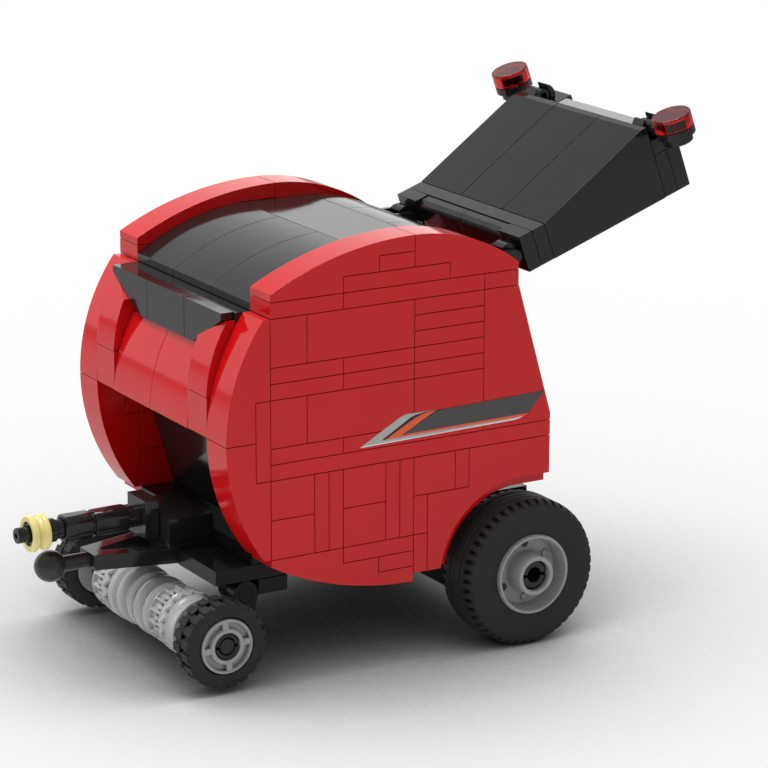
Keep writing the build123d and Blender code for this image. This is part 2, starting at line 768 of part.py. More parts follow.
# Tailgate
e_front = GATE_FRONT
e_slope = e_front + 2 * PLATE
e_rear = e_slope + SLOPE_LEN
gate_foot = -HINGE_REACH
gate_mid = gate_foot + BRICK
lamp_e = e_front + LAMP_E
lamp_n = gate_foot + LAMP_N
bar_n = lamp_n + PLATE / 2
with BuildPart() as gate_front:
    narrow_top = gate_foot + GATE_NARROW
    for plate_y in (INNER_HALF - STUD + g, -GATE_HALF):
        plane = gate_plane(plate_y)
        block(plane, e_front, e_front + PLATE, gate_foot, narrow_top, STUD - MOVE_GAP - g)
    top = narrow_top - MOVE_GAP
    corners = [
        (e_front + LIP, top),
        (e_slope - PLATE - g, top),
        (e_slope - PLATE - g, gate_foot + g),
        (e_front + MOVE_GAP, gate_foot + g),
        (e_front + MOVE_GAP, top - LIP),
    ]
    for plate_y in (-2 * STUD, 0):
        arched(gate_plane(plate_y + g), corners, 2 * LIP, bay_width)
    block(gate_plane(-GATE_HALF), e_slope - PLATE, e_slope, gate_foot, narrow_top, 2 * GATE_HALF)
finish(gate_front, "tailgate_front_plates")

with BuildPart() as clips:
    for clip_y in (INNER_HALF - STUD / 2 - CLIP_W / 2, STUD / 2 - INNER_HALF - CLIP_W / 2):
        with BuildSketch(gate_plane(clip_y)) as outline:
            Circle(CLIP_OUT)
            with Locations((e_front / 2, 0)):
                Rectangle(e_front, 2 * BAR_R)
            Circle(BAR_R + BORE_GAP, mode=Mode.SUBTRACT)
            with Locations((e_front + LIP - g, 0)):
                Rectangle(2 * LIP, STUD, mode=Mode.SUBTRACT)
            with Locations((-PLATE, PLATE / 2)):
                Rectangle(STUD / 2, PLATE, mode=Mode.SUBTRACT)
        extrude(outline.sketch, amount=CLIP_W)
finish(clips, "tailgate_clips")

# Tailgate slopes: right-hand face and width of each bay
side_bay = 2 * STUD - MOVE_GAP - g
slope_bays = [
    (-GATE_HALF, side_bay),
    (g - STUD, bay_width),
    (g + STUD, side_bay),
]
with BuildPart() as slopes:
    corners = [
        (e_slope + g, gate_foot),
        (e_slope + g, gate_foot + GATE_NARROW),
        (e_rear - LIP, gate_foot + GATE_DEEP),
        (e_rear - g, gate_foot + GATE_DEEP),
        (e_rear - g, gate_foot),
    ]
    for slope_y, width in slope_bays:
        panel(gate_plane(slope_y), corners, width)
finish(slopes, "tailgate_slopes")

with BuildPart() as gate_rear:
    for e0 in (e_rear, e_rear + PLATE):
        block(gate_plane(-GATE_HALF), e0, e0 + PLATE, gate_foot, gate_mid, 2 * GATE_HALF)
    for way in (1, -1):
        near = way * (INNER_HALF - STUD / 2)
        plane = gate_plane(near - STUD / 2 + MOVE_GAP)
        block(plane, e_rear, e_rear + STUD, gate_mid, gate_mid + PLATE, STUD - 2 * MOVE_GAP)
        with BuildSketch(gate_plane(near - CLIP_W / 2)) as outline:
            with Locations((lamp_e, bar_n)):
                Circle(CLIP_OUT)
            with Locations((lamp_e, (bar_n + gate_mid) / 2)):
                Rectangle(2 * CLIP_OUT - 2, bar_n - gate_mid)
            with Locations((lamp_e, bar_n)):
                Circle(BAR_R + BORE_GAP, mode=Mode.SUBTRACT)
            with Locations((lamp_e, bar_n + CLIP_OUT)):
                Rectangle(2 * BAR_R - 0.6, 2 * CLIP_OUT, mode=Mode.SUBTRACT)
        extrude(outline.sketch, amount=CLIP_W)
finish(gate_rear, "tailgate_rear_plates")

with BuildPart() as gate_tile:
    plane = gate_plane(g - 2 * STUD)
    block(plane, e_rear, e_rear + 2 * PLATE, gate_mid, gate_mid + PLATE, 4 * STUD - SEAM)
finish(gate_tile, "tailgate_rear_tile")


def lamp_plane(y, n):
    """Plane square to a lamp's axis, facing away from the tailgate."""
    tilt = math.radians(OPEN_DEG)
    x = FRONT_X - hinge_u - lamp_e * math.cos(tilt) + n * math.sin(tilt)
    z = arch_z + HINGE_V + lamp_e * math.sin(tilt) + n * math.cos(tilt)
    return Plane(origin=(x, y, z), x_dir=(0, 1, 0), z_dir=(math.sin(tilt), 0, math.cos(tilt)))


bar_mid = LAMP_Y - LAMP_R - STUD / 2 + 0.6
with BuildPart() as lamp_holders:
    for way in (1, -1):
        disc(lamp_plane(way * LAMP_Y, lamp_n + g), 0, 0, LAMP_FOOT_R, PLATE / 2)
        disc(lamp_plane(way * LAMP_Y, lamp_n + PLATE / 2), 0, 0, LAMP_R, PLATE / 2 - g)
        disc(gate_plane(way * bar_mid - STUD / 2), lamp_e, bar_n, BAR_R, STUD)
finish(lamp_holders, "lamp_holders")

with BuildPart() as lenses:
    for way in (1, -1):
        disc(lamp_plane(way * LAMP_Y, lamp_n + PLATE + g), 0, 0, LAMP_R, PLATE - MOVE_GAP)
finish(lenses, "lamp_lenses")
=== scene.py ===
import json
import math

import bmesh
import bpy
from mathutils import Matrix, Vector


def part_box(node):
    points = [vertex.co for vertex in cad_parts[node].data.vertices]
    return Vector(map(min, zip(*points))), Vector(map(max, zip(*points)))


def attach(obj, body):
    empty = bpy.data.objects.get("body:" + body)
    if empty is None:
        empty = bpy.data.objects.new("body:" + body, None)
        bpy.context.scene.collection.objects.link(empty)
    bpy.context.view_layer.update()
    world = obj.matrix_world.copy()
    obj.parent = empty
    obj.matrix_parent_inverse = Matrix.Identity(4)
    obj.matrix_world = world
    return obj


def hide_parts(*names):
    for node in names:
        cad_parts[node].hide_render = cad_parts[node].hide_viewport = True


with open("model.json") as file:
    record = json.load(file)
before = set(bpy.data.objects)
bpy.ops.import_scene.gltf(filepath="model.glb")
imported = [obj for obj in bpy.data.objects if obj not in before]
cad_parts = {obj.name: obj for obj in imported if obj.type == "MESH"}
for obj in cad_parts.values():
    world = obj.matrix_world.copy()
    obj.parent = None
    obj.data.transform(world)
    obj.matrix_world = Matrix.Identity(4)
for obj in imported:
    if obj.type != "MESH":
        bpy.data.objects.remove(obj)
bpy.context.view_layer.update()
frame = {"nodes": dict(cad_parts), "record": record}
nodes = frame["nodes"]

# Sizes in metres, read from the frame where a piece follows one; profiles and outlines hold mm.
# A point (u, v) is u back from the shell's front seam and v up from the foot of its top arch.
# OPEN is how far above level the tailgate stands.
MM = 0.001
STUD_PITCH = 8.0 * MM
PLATE = 3.2 * MM
HALF_SEAM = 0.075 * MM
FRONT_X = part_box("left_wall_bricks")[1][0] - (PLATE - HALF_SEAM)
ARCH_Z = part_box("left_top_arch")[0][2] - HALF_SEAM
WALL_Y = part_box("left_wall_bricks")[1][1]
OPEN = math.radians(19.64)

# Photograph's camera, fitted to the wall seams
CAM_AZ = math.radians(149.270491)
CAM_EL = math.radians(15.4480902)
CAM_ROLL = math.radians(0.18887)
CAM_OFFSET = Vector((284.753, 553.225, 148.288)) * MM
FOCAL_PX = 3242.583
IMAGE_PX = 768
SENSOR_MM = 36.0

# Materials: reach of the painted shade in seams and corners, and dullness there, radius of rounded edges,
# height of waves and grain, and the scale of the noise under both
SEAM_SHADE_REACH = 0.7 * MM
SEAM_DULL = 0.5
EDGE_ROUND = 0.12 * MM
WAVE_TALL = 4.0 * MM
GRAIN_TALL = 0.2 * MM
BROAD_NOISE = 90.0
FINE_NOISE = 2600.0


def group_tree(name, inputs, outputs):
    """A shader node group with the given sockets: (name, type, default)."""
    tree = bpy.data.node_groups.new(name, "ShaderNodeTree")
    for label, kind, value in inputs:
        sock = tree.interface.new_socket(label, in_out="INPUT", socket_type=kind)
        sock.default_value = value
    for label, kind in outputs:
        tree.interface.new_socket(label, in_out="OUTPUT", socket_type=kind)
    return tree, tree.nodes.new("NodeGroupInput"), tree.nodes.new("NodeGroupOutput")


def math_node(tree, operation, a, b=None, c=None):
    """A math node whose inputs are numbers or sockets."""
    node = tree.nodes.new("ShaderNodeMath")
    node.operation = operation
    for i, value in enumerate((a, b, c)):
        if value is None:
            continue
        if isinstance(value, (int, float)):
            node.inputs[i].default_value = value
        else:
            tree.links.new(value, node.inputs[i])
    return node.outputs[0]


def ramp_node(tree, value, low, high, to_low=0.0, to_high=1.0, smooth=True):
    """Maps a socket from low..high to to_low..to_high, clamped."""
    node = tree.nodes.new("ShaderNodeMapRange")
    if smooth:
        node.interpolation_type = "SMOOTHSTEP"
    for label, number in (("From Min", low), ("From Max", high), ("To Min", to_low), ("To Max", to_high)):
        node.inputs[label].default_value = number
    tree.links.new(value, node.inputs["Value"])
    return node.outputs["Result"]


def moulded_surface_and_seam_shade():
    """Mottle, roughness, rounded edges and a faint wave as moulded plastic has; painted shade in seams and
    corners.
    """
    tree, gin, gout = group_tree(
        "moulded_surface_and_seam_shade",
        [("Color", "NodeSocketColor", (0.5, 0.5, 0.5, 1)),
         ("Mottle", "NodeSocketFloat", 0.03),
         ("Roughness", "NodeSocketFloat", 0.1),
         ("Rough Spread", "NodeSocketFloat", 0.05),
         ("Wave", "NodeSocketFloat", 0.02),
         ("Grain", "NodeSocketFloat", 0.0),
         ("Painted Seam Shade", "NodeSocketFloat", 0.12)],
        [("Color", "NodeSocketColor"),
         ("Roughness", "NodeSocketFloat"),
         ("Normal", "NodeSocketVector")],
    )
    n, link = tree.nodes, tree.links.new
    coord = n.new("ShaderNodeTexCoord")
    broad = n.new("ShaderNodeTexNoise")
    broad.inputs["Scale"].default_value = BROAD_NOISE
    broad.inputs["Detail"].default_value = 3.0
    fine = n.new("ShaderNodeTexNoise")
    fine.inputs["Scale"].default_value = FINE_NOISE
    fine.inputs["Detail"].default_value = 2.0
    for noise in (broad, fine):
        link(coord.outputs["Object"], noise.inputs["Vector"])
    shade = ramp_node(tree, broad.outputs["Fac"], 0.0, 1.0, -1.0, 1.0, smooth=False)
    # Painted shade: the colour darkens where the surface is closed in, in seams and concave corners
    seam_occlusion = n.new("ShaderNodeAmbientOcclusion")
    seam_occlusion.samples = 4
    seam_occlusion.inputs["Distance"].default_value = SEAM_SHADE_REACH
    open_share = ramp_node(tree, seam_occlusion.outputs["AO"], 0.15, 0.75)
    link(gin.outputs["Painted Seam Shade"], open_share.node.inputs["To Min"])
    mottled = math_node(tree, "MULTIPLY_ADD", shade, gin.outputs["Mottle"], 1.0)
    mottle_and_seam_shade = math_node(tree, "MULTIPLY", mottled, open_share)
    tone = n.new("ShaderNodeVectorMath")
    tone.operation = "SCALE"
    link(gin.outputs["Color"], tone.inputs[0])
    link(mottle_and_seam_shade, tone.inputs["Scale"])
    link(tone.outputs[0], gout.inputs["Color"])
    dull = math_node(tree, "MULTIPLY_ADD", open_share, -SEAM_DULL, SEAM_DULL)
    rough = math_node(tree, "MULTIPLY_ADD", fine.outputs["Fac"], gin.outputs["Rough Spread"],
                      math_node(tree, "ADD", gin.outputs["Roughness"], dull))
    link(rough, gout.inputs["Roughness"])
    rounded = n.new("ShaderNodeBevel")
    rounded.samples = 4
    rounded.inputs["Radius"].default_value = EDGE_ROUND
    wave = n.new("ShaderNodeBump")
    wave.inputs["Distance"].default_value = WAVE_TALL
    link(gin.outputs["Wave"], wave.inputs["Strength"])
    link(broad.outputs["Fac"], wave.inputs["Height"])
    link(rounded.outputs["Normal"], wave.inputs["Normal"])
    grain = n.new("ShaderNodeBump")
    grain.inputs["Distance"].default_value = GRAIN_TALL
    link(gin.outputs["Grain"], grain.inputs["Strength"])
    link(fine.outputs["Fac"], grain.inputs["Height"])
    link(wave.outputs["Normal"], grain.inputs["Normal"])
    link(grain.outputs["Normal"], gout.inputs["Normal"])
    return tree


SURFACE = moulded_surface_and_seam_shade()


def plastic(name, color, roughness=0.08, spread=0.05, mottle=0.03, wave=0.015, grain=0.0,
            transmission=0.0, specular=0.5, painted_seam_shade=0.12):
    """A moulded plastic or rubber finish, with painted shade in its seams."""
    mat = bpy.data.materials.new(name)
    mat.use_nodes = True
    n, link = mat.node_tree.nodes, mat.node_tree.links.new
    bsdf = n["Principled BSDF"]
    bsdf.inputs["Transmission Weight"].default_value = transmission
    bsdf.inputs["Specular IOR Level"].default_value = specular
    surf = n.new("ShaderNodeGroup")
    surf.node_tree = SURFACE
    surf.inputs["Color"].default_value = (*color, 1)
    surf.inputs["Mottle"].default_value = mottle
    surf.inputs["Roughness"].default_value = roughness
    surf.inputs["Rough Spread"].default_value = spread
    surf.inputs["Wave"].default_value = wave
    surf.inputs["Grain"].default_value = grain
    surf.inputs["Painted Seam Shade"].default_value = painted_seam_shade
    link(surf.outputs["Color"], bsdf.inputs["Base Color"])
    link(surf.outputs["Roughness"], bsdf.inputs["Roughness"])
    link(surf.outputs["Normal"], bsdf.inputs["Normal"])
    return mat


def flat(name, color, roughness=0.18, specular=0.5):
    """An even finish, without mottle or wave."""
    return plastic(name, color, roughness=roughness, mottle=0.0, wave=0.0, specular=specular)


# Painted shade in the seams is lighter on the red
red = plastic("red_plastic", (0.50, 0.004, 0.005), painted_seam_shade=0.75)
black = plastic("black_plastic", (0.010, 0.010, 0.010))
# A darker, less shiny copy of the black: painted shade for pieces in shade under the shell
black_painted_shade = plastic("black_plastic_painted_shade", (0.007, 0.007, 0.007), roughness=0.14, specular=0.2)
grey = plastic("grey_plastic", (0.27, 0.275, 0.28), roughness=0.16)
drum_grey = plastic("drum_plastic", (0.35, 0.35, 0.355), roughness=0.18, mottle=0.06, specular=0.45)
# The tow ball gets a lighter copy of the black: painted sheen, for its brighter reflection
ball_black_painted_sheen = plastic("ball_black_painted_sheen", (0.026, 0.026, 0.026), roughness=0.12)
yellow = plastic("yellow_plastic", (0.72, 0.62, 0.24), roughness=0.12)
rubber = plastic("tyre_rubber", (0.022, 0.022, 0.020), roughness=0.5, spread=0.15, grain=0.3, wave=0.0,
                 specular=0.25)
lens_red = plastic("lamp_red_plastic", (0.80, 0.012, 0.012), roughness=0.03, spread=0.0, mottle=0.0,
                   wave=0.0, transmission=1.0)
# Dark grey discs on the rim's dish where its holes are: painted shade in the holes
hole_painted_shade_grey = flat("hole_painted_shade_grey", (0.06, 0.06, 0.06), roughness=0.5, specular=0.1)
# Near-black sheets and discs in pits, seams and holes: painted shade where the hollows lie in shade
hollow_painted_shade = flat("painted_hollow_shade_black", (0.001, 0.001, 0.001), roughness=0.9, specular=0.0)
band_grey = flat("band_grey", (0.055, 0.052, 0.050))
band_silver = flat("band_silver", (0.36, 0.36, 0.36))
band_white = flat("band_white", (0.75, 0.75, 0.75))
band_orange = flat("band_orange", (0.68, 0.09, 0.018))
slots = {"red_plastic": red, "black_plastic": black, "grey_plastic": grey, "yellow_plastic": yellow,
         "tyre_rubber": rubber, "lamp_red_plastic": lens_red}

# Black pieces low under the shell, which stand in shade, get a darker, less shiny copy of the black:
# painted shade
LOW_SHADED_BLACK = ("chassis_floor", "chassis_plates", "pickup_hinge_lugs", "pickup_arms")

for part in frame["record"]["subparts"]:
    obj = nodes[part["node"]]
    obj.data.materials.clear()
    obj.data.materials.append(black_painted_shade if part["node"] in LOW_SHADED_BLACK else slots[part["material_slot"]])


# Makers of pieces
SAME_POINT = 1e-7
SHARP_ANGLE = math.radians(32)


def cleaned(mesh, mat):
    """Joins doubled points, turns the normals outwards and smooths all but the edges."""
    bm = bmesh.new()
    bm.from_mesh(mesh)
    bmesh.ops.remove_doubles(bm, verts=bm.verts, dist=SAME_POINT)
    bmesh.ops.recalc_face_normals(bm, faces=bm.faces)
    bm.to_mesh(mesh)
    bm.free()
    mesh.materials.clear()
    mesh.materials.append(mat)
    for face in mesh.polygons:
        face.use_smooth = True
    mesh.set_sharp_from_angle(angle=SHARP_ANGLE)
    return mesh


def placed(name, mesh, body):
    """A finished piece on its body."""
    obj = bpy.data.objects.new(name, mesh)
    bpy.context.scene.collection.objects.link(obj)
    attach(obj, body)
    return obj


def mesh_of(name, verts, faces, mat):
    """A cleaned mesh in one material."""
    mesh = bpy.data.meshes.new(name)
    mesh.from_pydata([tuple(v) for v in verts], [], faces)
    return cleaned(mesh, mat)


AROUND_Y = (Vector((0, 1, 0)), Vector((-1, 0, 0)))
AROUND_X = (Vector((1, 0, 0)), Vector((0, 1, 0)))


def turned(centre, axes, profile, columns, bend=None):
    """Points and faces of a closed profile (radius, distance along) turned about the axis."""
    axis, side = axes
    other = side.cross(axis)
    verts, faces = [], []
    for turn in columns:
        a = 2 * math.pi * turn
        spoke = side * math.cos(a) + other * math.sin(a)
        for i, (r, along) in enumerate(profile):
            if bend:
                r, along = bend(turn, i, r, along)
            verts.append(centre + spoke * r + axis * along)
    k = len(profile)
    for c in range(len(columns)):
        d = (c + 1) % len(columns)
        for i in range(k):
            j = (i + 1) % k
            faces.append((c * k + i, c * k + j, d * k + j, d * k + i))
    return verts, faces


def even(count):
    """Columns for turned(), evenly round, as shares of a turn."""
    return [i / count for i in range(count)]


# Slots across turned ends: half their width, and that of the walls' own columns, as shares of a turn
SLOT_HALF = 0.0225
SLOT_WALL = 0.0005


def slot_columns(count):
    """Even columns, with a close pair at each wall of a slot across the end."""
    seam_occlusion = (SLOT_HALF - SLOT_WALL, SLOT_HALF + SLOT_WALL)
    walls = [middle + sign * edge for middle in (0, 0.5) for sign in (-1, 1) for edge in seam_occlusion]
    return sorted(turn % 1.0 for turn in even(count) + walls)


def slotted(deep):
    """A bend for turned() that sinks a slot across the end, down to deep along the axis."""

    def bend(turn, i, r, along):
        from_slot = abs(((turn + 0.25) % 0.5) - 0.25)
        if from_slot <= SLOT_HALF and abs(along) >= deep:
            along = math.copysign(deep, along)
        return r, along

    return bend


def prism(points, low, high):
    """Points and faces of a closed plate from y low to y high; points are (x, z)."""
    k = len(points)
    verts = [(x, low, z) for x, z in points] + [(x, high, z) for x, z in points]
    faces = [tuple(range(k)), tuple(range(2 * k - 1, k - 1, -1))]
    faces += [(i, (i + 1) % k, k + (i + 1) % k, k + i) for i in range(k)]
    return verts, faces


def copies_tree():
    """Geometry nodes: the piece copied round the Y axis, then moved to its centre."""
    tree = bpy.data.node_groups.new("copies_round_axis", "GeometryNodeTree")
    tree.interface.new_socket("Geometry", in_out="INPUT", socket_type="NodeSocketGeometry")
    for label, kind in (("Count", "NodeSocketInt"), ("Step", "NodeSocketFloat"),
                        ("Start", "NodeSocketFloat"), ("Centre", "NodeSocketVector"),
                        ("Material", "NodeSocketMaterial")):
        tree.interface.new_socket(label, in_out="INPUT", socket_type=kind)
    tree.interface.new_socket("Geometry", in_out="OUTPUT", socket_type="NodeSocketGeometry")
    n, link = tree.nodes, tree.links.new
    gin, gout = n.new("NodeGroupInput"), n.new("NodeGroupOutput")
    points = n.new("GeometryNodePoints")
    index = n.new("GeometryNodeInputIndex")
    turn = n.new("ShaderNodeMath")
    turn.operation = "MULTIPLY_ADD"
    spin = n.new("ShaderNodeCombineXYZ")
    copy = n.new("GeometryNodeInstanceOnPoints")
    move = n.new("GeometryNodeTransform")
    real = n.new("GeometryNodeRealizeInstances")
    paint = n.new("GeometryNodeSetMaterial")
    link(gin.outputs["Count"], points.inputs["Count"])
    link(index.outputs[0], turn.inputs[0])
    link(gin.outputs["Step"], turn.inputs[1])
    link(gin.outputs["Start"], turn.inputs[2])
    link(turn.outputs[0], spin.inputs["Y"])
    link(points.outputs[0], copy.inputs["Points"])
    link(gin.outputs["Geometry"], copy.inputs["Instance"])
    link(spin.outputs[0], copy.inputs["Rotation"])
    link(copy.outputs[0], move.inputs["Geometry"])
    link(gin.outputs["Centre"], move.inputs["Translation"])
    link(move.outputs[0], real.inputs[0])
    link(real.outputs[0], paint.inputs["Geometry"])
    link(gin.outputs["Material"], paint.inputs["Material"])
    link(paint.outputs[0], gout.inputs["Geometry"])
    return tree


COPIES = copies_tree()


def copied(name, verts, faces, centre, count, start, mat, body):
    """Copies of one piece, built about the origin, spread evenly round the Y axis at centre."""
    obj = bpy.data.objects.new(name, mesh_of(name, verts, faces, mat))
    bpy.context.scene.collection.objects.link(obj)
    mod = obj.modifiers.new("copies", "NODES")
    mod.node_group = COPIES
    values = {"Count": count, "Step": 2 * math.pi / count, "Start": start, "Centre": tuple(centre),
              "Material": mat}
    for item in COPIES.interface.items_tree:
        if item.in_out == "INPUT" and item.name in values:
            mod[item.identifier] = values[item.name]
    obj.update_tag()
    graph = bpy.context.evaluated_depsgraph_get()
    mesh = bpy.data.meshes.new_from_object(obj.evaluated_get(graph))
    bpy.data.objects.remove(obj)
    return placed(name, cleaned(mesh, mat), body)


def box_piece(r0, r1, y0, y1, wide0, wide1):
    """Points and faces of a tapering block: radii along -X, width along Z at each radius."""
    verts = []
    for y in (y0, y1):
        verts += [(-r0, y, -wide0 / 2), (-r0, y, wide0 / 2), (-r1, y, wide1 / 2), (-r1, y, -wide1 / 2)]
    faces = [(0, 1, 2, 3), (7, 6, 5, 4), (0, 4, 5, 1), (1, 5, 6, 2), (2, 6, 7, 3), (3, 7, 4, 0)]
    return verts, faces


def scaled(points):
    """Profile points from mm to metres."""
    return [(a * MM, b * MM) for a, b in points]


def outwards(points, face, s):
    """Profile points (radius, distance outwards) in mm, from y = face on the side with sign s."""
    return [(r * MM, s * (face + d * MM)) for r, d in points]


def wheel_place(node, side):
    """Centre on the axis, the sign of outwards, and y of the node's inner and outer faces."""
    lo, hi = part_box(node)
    centre = Vector(((lo[0] + hi[0]) / 2, 0, (lo[2] + hi[2]) / 2))
    s = 1 if side == "left" else -1
    inner, outer = (lo[1], hi[1]) if s > 0 else (-hi[1], -lo[1])
    return centre, s, inner, outer


# Rear tyres: smooth walls, a row of notches on each shoulder and ribs round the tread. A column at a whole
# step counts as the next step's first, by ROUNDING.
NOTCHES = 46
NOTCH_SHARE = 0.45
NOTCH_EDGE = 0.07
ROUNDING = 1e-6
# Half section: radius, distance in from the face, and how deep a notch goes in and inwards there
TYRE_HALF = [
    (8.5, 0.8, 0.0, 0.0), (8.2, 0.6, 0.0, 0.0), (8.2, 0.2, 0.0, 0.0), (8.35, 0.03, 0.0, 0.0),
    (8.6, 0.0, 0.0, 0.0), (13.5, 0.0, 0.0, 0.0), (13.8, 0.03, 0.0, 0.0), (14.15, 0.12, 0.0, 0.05),
    (14.5, 0.38, 0.12, 0.35), (14.8, 0.8, 0.36, 0.25), (15.02, 1.3, 0.75, 0.05), (15.12, 1.8, 0.9, 0.0),
    (15.18, 2.3, 0.9, 0.0), (15.2, 2.4, 0.0, 0.0), (15.2, 2.6, 0.0, 0.0), (15.2, 3.35, 0.0, 0.0),
    (15.05, 3.5, 0.0, 0.0), (14.8, 3.55, 0.0, 0.0), (14.8, 3.8, 0.0, 0.0), (15.05, 3.85, 0.0, 0.0),
    (15.2, 4.0, 0.0, 0.0), (15.2, 5.35, 0.0, 0.0), (15.08, 5.42, 0.0, 0.0),
]


def rear_tyre(side):
    centre, s, inner, outer = wheel_place(f"rear_tyre_{side}", side)
    wide = (outer - inner) / MM
    rows = TYRE_HALF + [(r, wide - d, deep, -in_cut) for r, d, deep, in_cut in reversed(TYRE_HALF)]
    step = 1 / NOTCHES
    cuts = [0, NOTCH_EDGE, NOTCH_SHARE / 2, NOTCH_SHARE - NOTCH_EDGE, NOTCH_SHARE]
    columns = [step * (k + c) for k in range(NOTCHES) for c in cuts]

    def bend(turn, i, r, along):
        share = (turn / step + ROUNDING) % 1.0
        if NOTCH_EDGE / 2 < share < NOTCH_SHARE - NOTCH_EDGE / 2:
            r -= rows[i][2] * MM
            along += s * rows[i][3] * MM
        return r, along

    profile = outwards([row[:2] for row in rows], inner, s)
    verts, faces = turned(centre, AROUND_Y, profile, columns, bend)
    tyre = placed(f"rear_tyre_tread_{side}", mesh_of("tread", verts, faces, rubber), f"rear_wheel_{side}")
    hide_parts(f"rear_tyre_{side}")


# Rear rims: bright outer ring, cone, dish with bumps and holes, hub ring, and the slotted end of the pin.
# The holes and the pin's hollow are dark discs of painted shade. The rim's face and the pin's end lie in
# from the node's face, and the dish in from the rim's face.
RIM_SINK = 0.95
DISH_DEEP = 3.7
BUMPS = 3
BUMP_OUT, BUMP_START = 5.6, math.radians(30)
HOLE_OUT, HOLE_START = 5.7, math.radians(90)
PIN_SINK = 0.9
PIN_SLOT = 0.9


def rear_rim(side):
    centre, s, inner, outer = wheel_place(f"rear_rim_{side}", side)
    body = f"rear_wheel_{side}"
    face = (outer - inner) / MM - RIM_SINK
    dish = face - DISH_DEEP
    profile = [(2.46, 0.05), (8.4, 0.05), (8.44, 0.2), (8.44, face - 0.9), (8.16, face - 0.7),
               (8.15, face - 0.08), (8.05, face), (7.75, face), (7.62, face - 0.08), (7.56, face - 0.25),
               (7.05, dish + 0.5), (6.95, dish + 0.1), (6.7, dish), (4.9, dish), (4.4, dish + 0.25),
               (4.12, dish + 0.8), (4.06, face + 0.65), (4.0, face + 0.85), (3.82, face + 0.94),
               (3.34, face + 0.94), (3.18, face + 0.86), (3.11, face + 0.65), (3.11, face - 3.4),
               (2.46, face - 3.4)]
    verts, faces = turned(centre, AROUND_Y, outwards(profile, inner, s), even(112))
    rim = placed(f"rear_rim_dish_{side}", mesh_of("dish", verts, faces, grey), body)
    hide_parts(f"rear_rim_{side}")

    floor_y = s * (inner + dish * MM)
    bump = [(0.0, -0.3), (0.85, -0.3), (0.85, 0.25), (0.7, 0.42), (0.5, 0.45), (0.34, 0.28), (0.0, 0.22)]
    foot = Vector((-BUMP_OUT * MM, floor_y, 0))
    verts, faces = turned(foot, AROUND_Y, outwards(bump, 0, s), even(24))
    copied(f"rim_bumps_{side}", verts, faces, centre, BUMPS, BUMP_START, grey, body)
    # Painted shade: dark grey discs on the dish floor where the holes lie
    rim_shade_disc = [(0.0, -0.3), (0.85, -0.3), (0.85, 0.02), (0.0, 0.02)]
    foot = Vector((-HOLE_OUT * MM, floor_y, 0))
    verts, faces = turned(foot, AROUND_Y, outwards(rim_shade_disc, 0, s), even(24))
    copied(f"rim_hole_shade_{side}", verts, faces, centre, BUMPS, HOLE_START, hole_painted_shade_grey, body)

    pin_face = outer - PIN_SINK * MM
    ring = [(1.55, -2.3), (2.86, -2.3), (2.86, -0.18), (2.76, -0.03), (2.6, 0.0), (1.8, 0.0),
            (1.62, -0.06), (1.55, -0.2)]
    verts, faces = turned(centre, AROUND_Y, outwards(ring, pin_face, s), slot_columns(96),
                          slotted(pin_face - PIN_SLOT * MM))
    placed(f"rear_pin_end_{side}", mesh_of("pin_end", verts, faces, black), "chassis")
    # Painted shade: a black disc deep in the pin's hollow
    pin_shade_disc = [(0.0, -0.7), (2.38, -0.7), (2.38, -0.65), (0.0, -0.65)]
    verts, faces = turned(centre, AROUND_Y, outwards(pin_shade_disc, pin_face, s), even(32))
    placed(f"rear_pin_hole_shade_{side}", mesh_of("pin_hole_shade", verts, faces, hollow_painted_shade), "chassis")


# Pickup tyres: a smooth ring with two rows of staggered, close blocks, and black patches of painted shade
# sunk between the rows where the pits lie
BLOCKS = 20
BLOCK_TALL = 0.42
BLOCK_FOOT, BLOCK_TOP = 1.8, 1.65
PIT_WIDE = 1.0


def pickup_tyre(side):
    centre, s, inner, outer = wheel_place(f"pickup_tyre_{side}", side)
    body = f"pickup_wheel_{side}"
    wide = (outer - inner) / MM
    out = (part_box(f"pickup_tyre_{side}")[1][2] - centre[2]) / MM
    base = out - BLOCK_TALL
    profile = [(5.6, 0.3), (6.0, 0.0), (7.3, 0.0), (7.8, 0.08), (base - 0.06, 0.3), (base, 0.5),
               (base, wide - 0.5), (base - 0.06, wide - 0.3), (7.8, wide - 0.05), (7.3, wide),
               (6.0, wide), (5.6, wide - 0.3)]
    verts, faces = turned(centre, AROUND_Y, outwards(profile, inner, s), even(80))
    tyre = placed(f"pickup_tyre_ring_{side}", mesh_of("ring", verts, faces, rubber), body)
    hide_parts(f"pickup_tyre_{side}")

    for row, (d0, d1) in enumerate(((0.12, wide / 2 - 0.3), (wide / 2 + 0.3, wide - 0.12))):
        low, high = sorted((s * (inner + d0 * MM), s * (inner + d1 * MM)))
        verts, faces = box_piece((base - 0.5) * MM, (out - 0.04) * MM, low, high, BLOCK_FOOT * MM,
                                 BLOCK_TOP * MM)
        start = row * math.pi / BLOCKS
        name = f"tyre_blocks_{row}_{side}"
        copied(name, verts, faces, centre, BLOCKS, start, rubber, body)
    # Painted shade: black patches sunk between the rows, where the pits lie in shade
    low, high = sorted((s * (inner + (wide / 2 - 0.25) * MM), s * (inner + (wide / 2 + 0.55) * MM)))
    verts, faces = box_piece((base - 0.3) * MM, (base + 0.03) * MM, low, high, PIT_WIDE * MM,
                             PIT_WIDE * MM)
    copied(f"tyre_pit_shade_{side}", verts, faces, centre, BLOCKS, 0.0, hollow_painted_shade, body)


# Pickup rims: outer ring, hub ring, spokes between them, the slotted bush and the end of the axle in it.
# The bush's end and the floor of its slot lie in from the rim's face.
SPOKES = 4
SPOKE_START = math.radians(5)
SPOKE_WIDE = 1.25
BUSH_SINK = 0.25
BUSH_SLOT = 1.4


